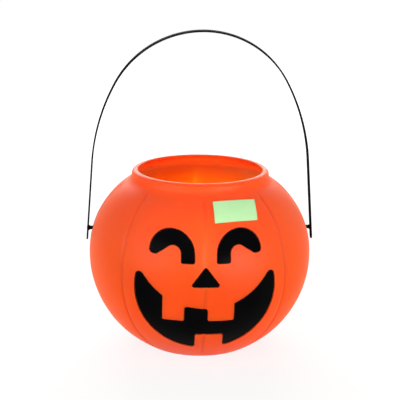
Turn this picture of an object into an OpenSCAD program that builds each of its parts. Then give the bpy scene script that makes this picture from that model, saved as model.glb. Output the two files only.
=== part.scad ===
// Pumpkin candy pail: a hollow moulded pumpkin with a painted jack-o'-lantern
// face, a blank label and a strap handle that swings on two snap pegs.
// Millimetres. +Z is up, the face looks along -Y and the origin is the middle
// of the circle that the pail stands on.

/* [Pail body] */
// Width across the widest level
pail_d = 217; // [200:1:232]
// Height of the widest level
belly_h = 93; // [84:1:100]
// Width of the circle that meets the table
foot_d = 104; // [80:1:120]
// Height at which the shoulder runs into the rim
neck_h = 164.8; // [156:0.2:176]
// Thickness of the moulded wall
wall = 2; // [1.6:0.1:2.6]

/* [Base] */
// Width of the flat ring that the pail stands on
stand_ring_w = 10; // [5:0.5:18]
// Rise of the pushed-up middle of the base
push_up = 4; // [1:0.5:8]

/* [Rim] */
// Width across the outside of the rim
rim_d = 132.8; // [120:0.4:144]
// Height of the rim's band above the shoulder
rim_h = 9.5; // [8:0.5:14]
// Width of the lip that turns inwards, from the rim's outside to the mouth
lip_w = 5.8; // [3.4:0.1:9]
// Thickness of the lip
lip_t = 2; // [1.5:0.1:3]
// Rounding of the rim's top outer edge
rim_top_round = 3.2; // [1:0.1:4]
// Rounding of the rim's bottom outer edge
rim_low_round = 1.6; // [0.5:0.1:2.5]

/* [Creases] */
// Number of pumpkin segments
segments = 8; // [6:1:12]
// Depth of the crease between two segments
crease_depth = 0.6; // [0.3:0.1:0.8]
// Radius of the crease's rounded cutter
crease_r = 1.6; // [1:0.1:3]
// Distance left plain between the crease and the rim, in height
crease_gap = 2; // [1:0.5:6]
// Height above the table at which a crease starts
crease_start_h = 3; // [2:0.5:10]

/* [Face] */
// Depth of the recess that holds each painted feature
recess = 1; // [0.6:0.1:1.2]
// Thickness of the paint layer on the floor of the recess
paint_t = 0.3; // [0.1:0.05:0.5]
// Distance of the face's middle from the crease at the front, towards the right
face_shift = 0.5; // [-2:0.1:2]

/* [Eyes] */
// Distance from the middle of the face to the middle of an eye's arch
eye_x = 30.8; // [28:0.2:36]
// Height of the middle of an eye's arch
eye_h = 118.7; // [112:0.1:124]
// Outer radius of an eye's arch
eye_r = 20.5; // [16:0.5:24]
// Width of the leg next to the nose
eye_leg_w = 12.2; // [8:0.1:14]
// Length of that leg below the middle of the arch
eye_leg_drop = 8.6; // [4:0.1:12]
// Radius of the opening under the arch
eye_gap_r = 7.3; // [5:0.1:9]
// Slope of the opening's outer side, in degrees
eye_flare = 34; // [30:1:55]
// Length of the outer leg below the middle of the arch
eye_end_drop = 1.5; // [0.5:0.1:4]
// Rounding of the inner leg's corners
eye_leg_round = 1.5; // [0.5:0.1:3]
// Rounding of the outer leg's outer corner
eye_end_round = 3.2; // [1:0.1:4]

/* [Nose] */
// Height of the nose's lower edge
nose_h = 88.3; // [84:0.1:92]
// Height from the lower edge to the point, before rounding
nose_tall = 18.8; // [12:0.2:21]
// Width of the lower edge, before rounding
nose_w = 28; // [20:0.2:34]
// Rounding of the point
nose_top_round = 1.8; // [0.4:0.1:2.5]
// Rounding of the lower corners
nose_low_round = 1.7; // [0.4:0.1:2.5]

/* [Mouth] */
// Height of the centre of the mouth's lower arc
mouth_h = 84.2; // [78:0.1:88]
// Radius of the mouth's lower arc
mouth_r = 65; // [58:0.2:68]
// Height of the lowest point of the upper lip
lip_low_h = 65.4; // [60:0.2:72]
// Radius of the upper lip's arc
lip_r = 68.6; // [64:0.2:74]
// Rounding of the corners of the mouth
tip_round = 3.4; // [1.5:0.1:4]
// Height of the lower edge of the upper teeth
upper_teeth_h = 52.6; // [48:0.2:58]
// Left edge of the left upper tooth
left_tooth_start = -39.8; // [-44:0.2:-34]
// Width of the left upper tooth
left_tooth_w = 20.6; // [14:0.2:24]
// Left edge of the right upper tooth
right_tooth_start = 2; // [0:0.2:6]
// Width of the right upper tooth
right_tooth_w = 25; // [16:0.2:28]
// Left edge of the lower tooth
low_tooth_start = -9.2; // [-14:0.2:-4]
// Width of the lower tooth
low_tooth_w = 26.8; // [18:0.2:32]
// Height of the upper edge of the lower tooth
low_tooth_h = 37.2; // [30:0.2:42]
// Rounding of the teeth's corners
tooth_round = 2; // [0.5:0.1:2.5]

/* [Label] */
// Width of the blank label
label_w = 43; // [30:1:50]
// Height of the blank label
label_tall = 23.8; // [16:0.2:28]
// Thickness of the label
label_t = 0.25; // [0.1:0.05:0.5]
// Turn of the label to the right of the face, in degrees
label_turn = 21.2; // [16:0.1:26]
// Distance from the top of the shoulder down to the label's middle, in height
label_drop = 12; // [10:0.2:16.4]
// Turn of the label in its own plane, in degrees
label_tilt = -2; // [-10:1:10]
// Sideways lean of the label's short edges, from its lower to its upper edge
label_skew = 3.5; // [0:0.5:8]

/* [Handle] */
// Height of the pegs that the handle turns on
pivot_h = 115; // [105:1:130]
// Height of the handle's top above the pegs
handle_rise = 193.1; // [150:0.1:220]
// Width of the strap
strap_w = 9; // [6:0.5:14]
// Thickness of the strap
strap_t = 1.6; // [0.8:0.1:2]
// Length of the strap below the pegs
strap_tail = 11.5; // [7:0.5:14]
// Rounding of the strap's ends
strap_end_round = 3.5; // [1:0.5:4.5]
// Gap between the pail and the strap at the pegs
strap_gap = 3.4; // [3:0.1:7]
// Inward lean of the strap's legs, in degrees
leg_lean = 4; // [2:0.5:6]
// Radius of the bend between a leg and the crown
side_bend_r = 190; // [140:5:230]
// Angle of the crown's arc on each side of the top, in degrees
crown_half_angle = 61.5; // [50:0.5:70]
// Distance from the pail's middle to the crown's top, towards the right
crown_shift = 2; // [-5:0.5:5]

/* [Pegs] */
// Diameter of the peg's shank
peg_d = 3.6; // [3:0.1:4.4]
// Clearance all round the shank in the pail's hole
peg_clearance = 0.05; // [0.03:0.01:0.1]
// Diameter of the collar against the strap
collar_d = 6; // [5:0.1:7]
// Thickness of the collar
collar_t = 1; // [0.6:0.1:1.6]
// Diameter of the tail pressed into the strap
tail_d = 3; // [2:0.1:3]
// Diameter of the snap head inside the pail
snap_d = 4.8; // [4.6:0.1:6]
// Length of the snap head
snap_len = 3; // [2:0.1:5]
// Diameter of the snap head's blunt point
snap_tip_d = 2.8; // [1.6:0.1:3.4]
// Gap between the snap head and the pail's inner wall
snap_gap = 0.35; // [0.3:0.05:1]

/* [Hidden] */
$fn = 96;

pumpkin_orange = [0.98, 0.36, 0.16];
face_black = [0.03, 0.03, 0.04];
strap_black = [0.06, 0.06, 0.06];
label_green = [0.75, 0.94, 0.70];

// What every cut runs past the faces that it opens
overrun = 2;
// Arc radii keep whole thousandths, so that two arcs meet in one point at the belly
finest = 0.001;
// Steps of a rounded corner, and the longest and widest step along an arc
corner_steps = 4;
arc_step = 5;
arc_step_angle = 12;

// Radii and centres of the two arcs of the body's side
pail_r = pail_d / 2;
rim_r = rim_d / 2;
mouth_open_r = rim_r - lip_w;
function arc_radius(across, up) = round((across * across + up * up) / (2 * across) / finest) * finest;
shoulder_arc_r = arc_radius(pail_r - rim_r, neck_h - belly_h);
base_arc_r = arc_radius(pail_r - foot_d / 2, belly_h);
shoulder_arc_x = pail_r - shoulder_arc_r;
base_arc_x = pail_r - base_arc_r;

// Radius of the body at a height, measured to the skin drawn in by an inset
function skin_r(h, inset) =
    h >= belly_h
        ? shoulder_arc_x + sqrt(pow(shoulder_arc_r - inset, 2) - pow(h - belly_h, 2))
        : base_arc_x + sqrt(pow(base_arc_r - inset, 2) - pow(h - belly_h, 2));

// Pushed-up base: a shallow dome that springs from the inside of the flat ring
dome_edge_r = foot_d / 2 - stand_ring_w;
dome_r = (dome_edge_r * dome_edge_r + push_up * push_up) / (2 * push_up);
dome_h = push_up - dome_r;

// Rim
rim_top_h = neck_h + rim_h;
rim_bore_r = rim_r - wall;

// Creases: two arcs of their own, joined by a short upright part at the widest level
crease_band = 0.5;
crease_top_h = neck_h - crease_gap;
crease_up = crease_top_h - belly_h - crease_band / 2;
crease_top_r = arc_radius(pail_r - skin_r(crease_top_h, 0), crease_up);
crease_down = belly_h - crease_start_h - crease_band / 2;
crease_low_r = arc_radius(pail_r - skin_r(crease_start_h, 0), crease_down);

label_h = neck_h - label_drop;

// Points along an arc
function arc(centre, r, from, to, steps) =
    [for (i = [0 : steps]) let (a = from + (to - from) * i / steps) centre + r * [cos(a), sin(a)]];
function steps_for(r, sweep) = ceil(abs(sweep) * max(PI * r / 180 / arc_step, 1 / arc_step_angle));
function long_arc(centre, r, from, to) = arc(centre, r, from, to, steps_for(r, to - from));

// A corner p, rounded between the point before it and the point after it
function unit(v) = v / norm(v);
function angle_of(v) = atan2(v[1], v[0]);
function rounded_corner(before, p, after, r) =
    let (u = unit(before - p), v = unit(after - p), half = acos(u * v) / 2)
    let (centre = p + unit(u + v) * r / sin(half))
    let (start = angle_of(p + u * r / tan(half) - centre), side = sign(cross(u, v)))
    arc(centre, r, start, start - side * (180 - 2 * half), corner_steps);

// An outline from corners, each a point and its rounding. A rounding of zero keeps the point
function sharp(points) = [for (p = points) [p, 0]];
function outline(corners) =
    [for (i = [0 : len(corners) - 1])
        let (n = len(corners), p = corners[i][0], r = corners[i][1])
        let (before = corners[(i + n - 1) % n][0], after = corners[(i + 1) % n][0])
        each (r == 0 ? [p] : rounded_corner(before, p, after, r))];

// Eye: an arch with a long straight leg beside the nose and a short outer leg
eye_left = eye_x - eye_r;
eye_gap_x = eye_left + eye_leg_w + eye_gap_r;
eye_end_h = eye_h - eye_end_drop;
// The rounding at the outer leg's end touches the arch and the end's lower edge
eye_end_in = eye_r - eye_end_round;
eye_end_up = eye_end_round - eye_end_drop;
eye_end_x = eye_x + sqrt(eye_end_in * eye_end_in - eye_end_up * eye_end_up);
eye_end_angle = asin(eye_end_up / eye_end_in);
eye_flare_top = [eye_gap_x, eye_h] + eye_gap_r * [sin(eye_flare), cos(eye_flare)];
eye_flare_low = [eye_flare_top[0] + (eye_flare_top[1] - eye_end_h) / tan(eye_flare), eye_end_h];
eye_points = outline(concat(
    [[[eye_left, eye_h - eye_leg_drop], eye_leg_round]],
    sharp(long_arc([eye_x, eye_h], eye_r, 180, eye_end_angle)),
    sharp(arc([eye_end_x, eye_h + eye_end_up], eye_end_round, eye_end_angle, -90, corner_steps)),
    [[eye_flare_low, eye_leg_round / 2]],
    sharp(long_arc([eye_gap_x, eye_h], eye_gap_r, 90 - eye_flare, 180)),
    [[[eye_left + eye_leg_w, eye_h - eye_leg_drop], eye_leg_round]]));

// Nose: a rounded triangle
nose_points = outline([
    [[-nose_w / 2, nose_h], nose_low_round],
    [[0, nose_h + nose_tall], nose_top_round],
    [[nose_w / 2, nose_h], nose_low_round]]);

// Mouth: a crescent between two arcs, with two upper teeth and one lower tooth
lip_h = lip_low_h + lip_r;
// The rounding at each tip touches both arcs
tip_in = mouth_r - tip_round;
tip_out = lip_r + tip_round;
tip_h = (tip_in * tip_in - tip_out * tip_out + lip_h * lip_h - mouth_h * mouth_h)
    / (2 * (lip_h - mouth_h));
tip_x = sqrt(tip_in * tip_in - pow(tip_h - mouth_h, 2));
tip_low_angle = angle_of([tip_x, tip_h - mouth_h]);
tip_lip_angle = angle_of([tip_x, tip_h - lip_h]);
function lip_height(x) = lip_h - sqrt(lip_r * lip_r - x * x);
function lip_angle(x) = angle_of([x, lip_height(x) - lip_h]);
// The rounding beside the lower tooth touches the tooth's edge and the lower arc
function root(x, side) = [x + side * tooth_round,
    mouth_h - sqrt(pow(mouth_r - tooth_round, 2) - pow(x + side * tooth_round, 2))];
function root_angle(x, side) = angle_of(root(x, side) - [0, mouth_h]);
left_tooth_end = left_tooth_start + left_tooth_w;
right_tooth_end = right_tooth_start + right_tooth_w;
low_tooth_end = low_tooth_start + low_tooth_w;
mouth_points = outline(concat(
    sharp(arc(root(low_tooth_end, 1), tooth_round, 180, 360 + root_angle(low_tooth_end, 1), corner_steps)),
    sharp(long_arc([0, mouth_h], mouth_r, root_angle(low_tooth_end, 1), tip_low_angle)),
    sharp(arc([tip_x, tip_h], tip_round, tip_low_angle, 180 + tip_lip_angle, corner_steps)),
    sharp(long_arc([0, lip_h], lip_r, tip_lip_angle, lip_angle(right_tooth_end))),
    [[[right_tooth_end, upper_teeth_h], tooth_round]],
    [[[right_tooth_start, upper_teeth_h], tooth_round]],
    [[[right_tooth_start, lip_height(right_tooth_start)], tooth_round]],
    [[[left_tooth_end, lip_height(left_tooth_end)], tooth_round]],
    [[[left_tooth_end, upper_teeth_h], tooth_round]],
    [[[left_tooth_start, upper_teeth_h], tooth_round]],
    sharp(long_arc([0, lip_h], lip_r, lip_angle(left_tooth_start), -180 - tip_lip_angle)),
    sharp(arc([-tip_x, tip_h], tip_round, -tip_lip_angle, 180 - tip_low_angle, corner_steps)),
    sharp(long_arc([0, mouth_h], mouth_r, 180 - tip_low_angle, 360 + root_angle(low_tooth_start, -1))),
    sharp(arc(root(low_tooth_start, -1), tooth_round, 360 + root_angle(low_tooth_start, -1), 360, corner_steps)),
    [[[low_tooth_start, low_tooth_h], tooth_round]],
    [[[low_tooth_end, low_tooth_h], tooth_round]]));

// Handle: the strap's middle line on one side of the crown's top
pivot_x = skin_r(pivot_h, 0) + strap_gap + strap_t / 2;
crown_lean = 90 - crown_half_angle;
// Length of the straight leg and radius of the crown, so that the line ends level at the top
function leg_and_crown(side) =
    let (across = pivot_x - side * crown_shift - side_bend_r * (cos(leg_lean) - cos(crown_lean)))
    let (up = handle_rise - side_bend_r * (sin(crown_lean) - sin(leg_lean)))
    let (fall = 1 - sin(crown_lean), share = sin(leg_lean) * fall - cos(crown_lean) * cos(leg_lean))
    [(across * fall - up * cos(crown_lean)) / share, (up * sin(leg_lean) - across * cos(leg_lean)) / share];
// Each entry is a point on the middle line and the direction out of the strap, for the right side
function strap_line(side) =
    let (leg = leg_and_crown(side)[0], crown_r = leg_and_crown(side)[1])
    let (out = [cos(leg_lean), sin(leg_lean)], along = [-sin(leg_lean), cos(leg_lean)])
    let (foot = [pivot_x, pivot_h] - along * (strap_tail + overrun), knee = [pivot_x, pivot_h] + along * leg)
    let (bend = knee - side_bend_r * out)
    let (crown = [side * crown_shift, pivot_h + handle_rise - crown_r])
    concat([[foot, out]],
        [for (p = long_arc([0, 0], side_bend_r, leg_lean, crown_lean)) [bend + p, unit(p)]],
        [for (p = long_arc([0, 0], crown_r, crown_lean, 90)) [crown + p, unit(p)]]);
function strap_edge(side, out) = [for (p = strap_line(side)) p[0] + out * p[1]];
function mirrored(points) = [for (p = points) [-p[0], p[1]]];
function backwards(points) = [for (i = [len(points) - 1 : -1 : 0]) points[i]];

// Half section of the rounded body, drawn in by an inset
module body_section(inset) {
    difference() {
        translate([0, inset]) square([pail_d, neck_h - inset]);
        outside_arc(shoulder_arc_x, shoulder_arc_r - inset, 0);
        outside_arc(base_arc_x, base_arc_r - inset, -1);
    }
}

// Space beyond an arc of the side, above the widest level or (from = -1) below it
module outside_arc(x, r, from) {
    translate([x, belly_h]) difference() {
        translate([0, from * pail_d]) square([2 * pail_d, pail_d]);
        circle(r = r);
    }
}

// Solid between two insets of the body's skin
module skin_layer(outer, inner) {
    rotate_extrude() difference() {
        body_section(outer);
        body_section(inner);
    }
}

// Rim's band with its lip, down to below the skin of the shoulder
module rim_section() {
    polygon(outline([
        [[mouth_open_r, rim_top_h], lip_t / 3],
        [[rim_r, rim_top_h], rim_top_round],
        [[rim_r, neck_h], rim_low_round],
        [[rim_r - rim_low_round, neck_h - wall], 0],
        [[mouth_open_r, neck_h - wall], 0]]));
}

// Bore of the rim, with the mouth inside the lip
module rim_bore_section() {
    polygon(outline([
        [[0, neck_h - 2 * wall], 0],
        [[rim_bore_r, neck_h - 2 * wall], 0],
        [[rim_bore_r, rim_top_h - lip_t], lip_t],
        [[mouth_open_r, rim_top_h - lip_t], 0],
        [[mouth_open_r, rim_top_h + overrun], 0],
        [[0, rim_top_h + overrun], 0]]));
}

// Space inside the pail, with the dome of the base standing up in it
module hollow() {
    difference() {
        rotate_extrude() body_section(wall);
        translate([0, 0, dome_h]) sphere(r = dome_r + wall);
    }
    rotate_extrude() rim_bore_section();
}

module shell_body() {
    difference() {
        union() {
            rotate_extrude() body_section(0);
            rotate_extrude() rim_section();
        }
        hollow();
        translate([0, 0, dome_h]) sphere(r = dome_r);
    }
}

// Part of a crease: a round cutter led along an arc that starts upright at a level
module crease_arc(arc_r, level, from, to) {
    translate([pail_r - arc_r, 0, level]) rotate([90, 0, 0])
        rotate_extrude(start = from, angle = to - from)
            translate([arc_r + crease_r - crease_depth, 0]) circle(r = crease_r);
}

module creases() {
    for (i = [0 : segments - 1]) {
        rotate([0, 0, i * 360 / segments - 90]) {
            crease_arc(crease_top_r, belly_h + crease_band / 2, 0, asin(crease_up / crease_top_r));
            translate([pail_r + crease_r - crease_depth, 0, belly_h - crease_band / 2])
                cylinder(r = crease_r, h = crease_band);
            crease_arc(crease_low_r, belly_h - crease_band / 2, -asin(crease_down / crease_low_r), 0);
        }
    }
}

// A face outline, carried from the middle of the pail out through its front
module face_prism(points) {
    rotate([90, 0, 0]) linear_extrude(pail_r + overrun) translate([face_shift, 0]) polygon(points);
}

module all_face_prisms() {
    face_prism(eye_points);
    face_prism(mirrored(eye_points));
    face_prism(nose_points);
    face_prism(mouth_points);
}

// Paint on the floor of one recess
module paint(points) {
    color(face_black) intersection() {
        skin_layer(recess - paint_t, recess);
        face_prism(points);
    }
}

module peg_hole() {
    rotate([0, 90, 0]) cylinder(d = peg_d + 2 * peg_clearance, h = pail_r + overrun);
}

module pail_shell() {
    color(pumpkin_orange) difference() {
        shell_body();
        creases();
        intersection() {
            skin_layer(-overrun, recess);
            all_face_prisms();
        }
        translate([0, 0, pivot_h]) peg_hole();
        translate([0, 0, pivot_h]) mirror([1, 0, 0]) peg_hole();
    }
}

module right_eye_paint() {
    paint(eye_points);
}

module left_eye_paint() {
    paint(mirrored(eye_points));
}

module nose_paint() {
    paint(nose_points);
}

module mouth_paint() {
    paint(mouth_points);
}

// The label lies on the shoulder, square to the skin at its middle
module blank_label() {
    rise = asin((label_h - belly_h) / shoulder_arc_r);
    lean = [label_skew / 2, label_tall / 2];
    side = [label_w / 2, 0];
    corners = [-lean - side, -lean + side, lean + side, lean - side];
    color(label_green) intersection() {
        skin_layer(-label_t, 0);
        rotate([0, 0, label_turn]) translate([0, -skin_r(label_h, 0), label_h])
            rotate([90 - rise, 0, 0]) rotate([0, 0, label_tilt])
                translate([0, 0, -label_w / 2]) linear_extrude(label_w) polygon(corners);
    }
}

// The bent strap seen from the front
module strap_front() {
    half = strap_t / 2;
    polygon(concat(
        strap_edge(1, half), backwards(mirrored(strap_edge(-1, half))),
        mirrored(strap_edge(-1, -half)), backwards(strap_edge(1, -half))));
}

// The strap seen from the side: its width and its rounded ends
module strap_side() {
    low = pivot_h - strap_tail;
    high = pivot_h + handle_rise + strap_t;
    polygon(outline([
        [[-strap_w / 2, low], strap_end_round], [[strap_w / 2, low], strap_end_round],
        [[strap_w / 2, high], 0], [[-strap_w / 2, high], 0]]));
}

// Strap: one thin band bent over the pail, with a hole at each peg
module strap_handle() {
    reach = pivot_x + strap_tail;
    color(strap_black) difference() {
        intersection() {
            translate([0, strap_w, 0]) rotate([90, 0, 0]) linear_extrude(2 * strap_w) strap_front();
            translate([-reach, 0, 0]) rotate([90, 0, 90]) linear_extrude(2 * reach) strap_side();
        }
        translate([0, 0, pivot_h]) rotate([0, 90, 0]) cylinder(d = tail_d, h = 2 * reach, center = true);
    }
}

// Space on the pail's side of a face of the right-hand leg, a distance out from its middle
module inside_strap(out) {
    translate([pivot_x, 0, pivot_h]) rotate([0, -leg_lean, 0])
        translate([out - pail_d, -pail_r, -pail_r]) cube([pail_d, pail_d, pail_d]);
}

// Peg from its snap head inside the pail to its tail, flush with the strap's outer face
module snap_peg() {
    head_end = skin_r(pivot_h + snap_d / 2, wall) - snap_gap;
    head_start = head_end - snap_len;
    collar_start = pivot_x - strap_t / 2 - collar_t;
    color(strap_black) union() {
        intersection() {
            inside_strap(-strap_t / 2);
            translate([0, 0, pivot_h]) rotate([0, 90, 0]) rotate_extrude() polygon([
                [0, head_start], [snap_tip_d / 2, head_start], [snap_d / 2, head_end - snap_len / 3],
                [snap_d / 2, head_end], [peg_d / 2, head_end], [peg_d / 2, collar_start],
                [collar_d / 2, collar_start], [collar_d / 2, pail_d], [0, pail_d]]);
        }
        intersection() {
            inside_strap(strap_t / 2);
            translate([collar_start, 0, pivot_h]) rotate([0, 90, 0]) cylinder(d = tail_d, h = pail_r);
        }
    }
}

module right_snap_peg() {
    snap_peg();
}

module left_snap_peg() {
    mirror([1, 0, 0]) snap_peg();
}

pail_shell();
left_eye_paint();
right_eye_paint();
nose_paint();
mouth_paint();
blank_label();
strap_handle();
left_snap_peg();
right_snap_peg();
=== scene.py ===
# %% [markdown]
# # A pumpkin pail for sweets
# The real object is a thin moulded pail of orange polyethylene. Its face is black paint in shallow
# recesses, a blank paper label sits on one shoulder, and a bent black strap swings on two studs.
# The CAD model already has the right sizes. This lesson dresses it: the same forms are built again
# with soft edges, creases that fade out and materials that answer the light like the real ones.

# %% Open the frame
import math
import bpy
import numpy as np
from mathutils import Matrix, Vector
from mathutils.geometry import delaunay_2d_cdt


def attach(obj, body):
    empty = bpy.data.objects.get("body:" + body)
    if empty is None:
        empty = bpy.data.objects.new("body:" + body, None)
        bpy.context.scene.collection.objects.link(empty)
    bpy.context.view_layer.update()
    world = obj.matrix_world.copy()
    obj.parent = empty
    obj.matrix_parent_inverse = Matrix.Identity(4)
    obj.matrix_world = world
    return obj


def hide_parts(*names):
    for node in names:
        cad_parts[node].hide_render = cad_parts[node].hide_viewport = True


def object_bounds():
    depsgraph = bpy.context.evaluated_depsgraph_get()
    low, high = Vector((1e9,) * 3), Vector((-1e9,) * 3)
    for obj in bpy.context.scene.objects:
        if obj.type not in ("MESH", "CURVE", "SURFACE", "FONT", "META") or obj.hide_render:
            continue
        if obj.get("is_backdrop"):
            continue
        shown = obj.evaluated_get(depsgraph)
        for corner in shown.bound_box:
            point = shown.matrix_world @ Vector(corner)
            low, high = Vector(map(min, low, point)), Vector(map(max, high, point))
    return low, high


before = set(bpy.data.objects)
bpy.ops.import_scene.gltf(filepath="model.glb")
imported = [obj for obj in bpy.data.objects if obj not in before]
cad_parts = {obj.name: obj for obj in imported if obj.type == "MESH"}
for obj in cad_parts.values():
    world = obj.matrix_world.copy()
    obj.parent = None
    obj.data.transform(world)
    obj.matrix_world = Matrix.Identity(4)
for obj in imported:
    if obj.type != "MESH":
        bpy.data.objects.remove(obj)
cad_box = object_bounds()
MM = 0.001

# %% [markdown]
# ## The camera
# The photograph was matched with a long lens, 1.3 m away and 0.3 m above the rim. The matched camera
# looks down at the pail's upper half and leans by about half a degree. The pail itself was turned by
# about three degrees on its table; here the camera walks round it by that angle, so the pail stays
# square to its axes, and a lamp or a second view needs no correction.

# %% Place the camera
view_height = 80 * MM
view_distance = 1300 * MM
view_elevation = math.radians(17.233)
pail_turn = math.radians(3.05)
tilt_down, tilt_roll = math.radians(14.569), math.radians(0.601)

camera = bpy.data.objects.new("camera", bpy.data.cameras.new("camera"))
bpy.context.scene.collection.objects.link(camera)
bpy.context.scene.camera = camera
camera.data.sensor_width = 36
camera.data.lens = 117.85
walk_round = Matrix.Rotation(-pail_turn, 4, "Z")
stand = Vector((0, -view_distance * math.cos(view_elevation),
                view_height + view_distance * math.sin(view_elevation)))
camera.matrix_world = (walk_round @ Matrix.Translation(stand)
                       @ Matrix.Rotation(math.pi / 2 - tilt_down, 4, "X")
                       @ Matrix.Rotation(tilt_roll, 4, "Z"))
print("camera stands at", [round(v, 3) for v in camera.matrix_world.translation])

# %% [markdown]
# ## Sizes that shape the pail
# The side of the pail is two circle arcs that meet upright at the widest level. Any point on it is
# given by its turn from the front, its height on the skin and its depth below the skin. One function
# turns these three numbers into a place, so the wall, the recesses, the paint and the label all
# follow the same surface and can't drift apart.

# %% The pail's side as two arcs (millimetres)
pail_r, belly_h = 108.5, 93.0
foot_r, stand_ring_w, push_up = 52.0, 10.0, 4.0
rim_r, neck_h = 66.4, 164.8
wall = 2.0


def arc_radius(across, up):
    return (across ** 2 + up ** 2) / (2 * across)


shoulder_arc = arc_radius(pail_r - rim_r, neck_h - belly_h)
base_arc = arc_radius(pail_r - foot_r, belly_h)


def arc_at(h):
    return np.where(np.asarray(h) >= belly_h, shoulder_arc, base_arc)


def skin_radius(h, depth=0.0):
    arc = arc_at(h)
    return pail_r - arc + np.sqrt((arc - depth) ** 2 - (np.asarray(h) - belly_h) ** 2)


def on_skin(turn, h, depth):
    arc = arc_at(h)
    rise = np.arcsin((np.asarray(h) - belly_h) / arc)
    r = pail_r - arc + (arc - depth) * np.cos(rise)
    z = belly_h + (arc - depth) * np.sin(rise)
    return np.stack([r * np.sin(turn), -r * np.cos(turn), z], -1) * MM


print("arc radii", round(shoulder_arc, 3), round(base_arc, 3), "mm")

# %% [markdown]
# ## Creases and segments
# A moulded pumpkin has eight segments. Between two of them runs a fine rounded crease, and the skin
# sinks a little on both sides of it, which is what gives the segments their crown. Both are written
# as a depth that depends on the distance from the crease, and they fade out near the foot and the
# rim, as on the real mould. A small lift, at most 0.7 mm, lets the crowns stand a little proud of the
# plain arcs and fills the shoulder below the rim. Beside the strap's ends there is none, so that the
# strap can swing past the pail without touching it. A slow waviness of less than a tenth of a
# millimetre keeps the gloss from looking machined.

# %% Depth of the creases
segment = math.radians(45)
crease_depth, crease_w = 0.80, 1.6
segment_sag, segment_w = 0.35, 8.0
crease_low_h, crease_top_h = 3.0, 162.4
wave = 0.07


def smooth(v, low, high):
    t = np.clip((np.asarray(v, float) - low) / (high - low), 0, 1)
    return t * t * (3 - 2 * t)


def crease_distance(turn, h):
    away = turn - segment * np.round(turn / segment)
    return skin_radius(h) * np.sin(np.abs(away))


def crease_fade(h):
    return smooth(h, crease_low_h, crease_low_h + 9) * (1 - smooth(h, crease_top_h - 5, crease_top_h))


def lift(h):
    return (0.3 * smooth(h, crease_low_h, 25) - 0.3 * smooth(h, 70, 93)
            + 0.15 * smooth(h, 112, 130) + 0.55 * smooth(h, 140, 160))


def relief(turn, h):
    d = crease_distance(turn, h)
    crease = crease_depth * np.exp(-(d / crease_w) ** 2) + segment_sag / (1 + (d / segment_w) ** 2)
    waves = wave * np.sin(3 * turn + h / 19) * np.cos(5 * turn - h / 31)
    return crease_fade(h) * (crease + waves) - lift(h)


crown, valley = (float(relief(turn, belly_h)) for turn in (segment / 2, 0.0))
print("relief from", round(crown, 2), "to", round(valley, 2), "mm")

# %% [markdown]
# ## Outlines of the face
# The frame already holds each painted patch as a thin solid. The edge of its outer face is exactly
# the outline that is needed, so it is read from there instead of being typed in again. The
# triangles of the outer face are the ones whose three corners lie at the same depth; an edge that
# only one of them uses is on the outline. Following those edges gives a closed line.

# %% Read the outlines from the frame
recess_depth, paint_top = 1.0, 0.7
longest_step, shortest_step = 1.3, 0.25


def depth_of(points):
    arc = arc_at(points[:, 2])
    across = np.hypot(points[:, 0], points[:, 1]) - (pail_r - arc)
    return arc - np.hypot(across, points[:, 2] - belly_h)


def outline_of(node):
    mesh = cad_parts[node].data
    points = np.array([v.co for v in mesh.vertices]) / MM
    keys, same = np.unique(np.round(points, 3), axis=0, return_inverse=True)
    same = same.ravel()
    outer = np.abs(depth_of(keys) - paint_top) < 0.05
    mesh.calc_loop_triangles()
    following = {}
    for triangle in mesh.loop_triangles:
        a, b, c = (int(same[v]) for v in triangle.vertices)
        if outer[a] and outer[b] and outer[c] and len({a, b, c}) == 3:
            for edge in ((a, b), (b, c), (c, a)):
                following[edge] = following.get(edge, 0) + 1
    rim = {a: b for a, b in following if (b, a) not in following}
    start = min(rim)
    line, at = [start], rim[start]
    while at != start:
        line.append(at)
        at = rim[at]
    return keys[line][:, [0, 2]]


def even_steps(line):
    kept = [line[0]]
    for p in line[1:]:
        if np.hypot(*(p - kept[-1])) > shortest_step:
            kept.append(p)
    made = []
    for p, q in zip(kept, kept[1:] + kept[:1]):
        parts = max(1, math.ceil(np.hypot(*(q - p)) / longest_step))
        made += [p + (q - p) * k / parts for k in range(parts)]
    line = np.array(made)
    area = np.sum(line[:, 0] * np.roll(line[:, 1], -1) - np.roll(line[:, 0], -1) * line[:, 1])
    return line if area > 0 else line[::-1]


features = {n: even_steps(outline_of(n + "_paint")) for n in ("left_eye", "right_eye", "nose", "mouth")}
print({n: len(line) for n, line in features.items()}, "points in the outlines")

# %% [markdown]
# ## Offsetting an outline
# A recess needs several copies of its outline, each a fraction of a millimetre further in and
# deeper, so that its edge becomes a small rounded step. Each point moves along the mean of the
# directions square to its two neighbours, and a little further at a corner, which keeps the step
# equally wide all the way round.

# %% Move an outline outwards or inwards
sharpest_corner = 1.6


def moved_out(line, distance):
    ahead = np.roll(line, -1, 0) - line
    ahead /= np.linalg.norm(ahead, axis=1, keepdims=True)
    square = np.stack([ahead[:, 1], -ahead[:, 0]], -1)
    mean = square + np.roll(square, 1, 0)
    mean /= np.linalg.norm(mean, axis=1, keepdims=True)
    longer = 1 / np.clip((mean * square).sum(1), 1 / sharpest_corner, 1)
    return line + mean * (distance * longer)[:, None]


def turn_of(x, h):
    return np.arcsin(x / skin_radius(h))


def distance_inside(points, line):
    """Distance from each point to the outline: positive inside it, negative outside."""
    a, b = line, np.roll(line, -1, 0)
    along = b - a
    to_point = points[:, None] - a[None]
    share = np.clip((to_point * along).sum(-1) / (along ** 2).sum(-1), 0, 1)
    near = np.linalg.norm(to_point - share[..., None] * along, axis=-1).min(1)
    above = (a[:, 1] > points[:, None, 1]) != (b[:, 1] > points[:, None, 1])
    with np.errstate(divide="ignore", invalid="ignore"):
        crossing = a[:, 0] + (points[:, None, 1] - a[:, 1]) * along[:, 0] / along[:, 1]
    inside = (above & (points[:, None, 0] < crossing)).sum(1) % 2 == 1
    return np.where(inside, near, -near)


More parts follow.
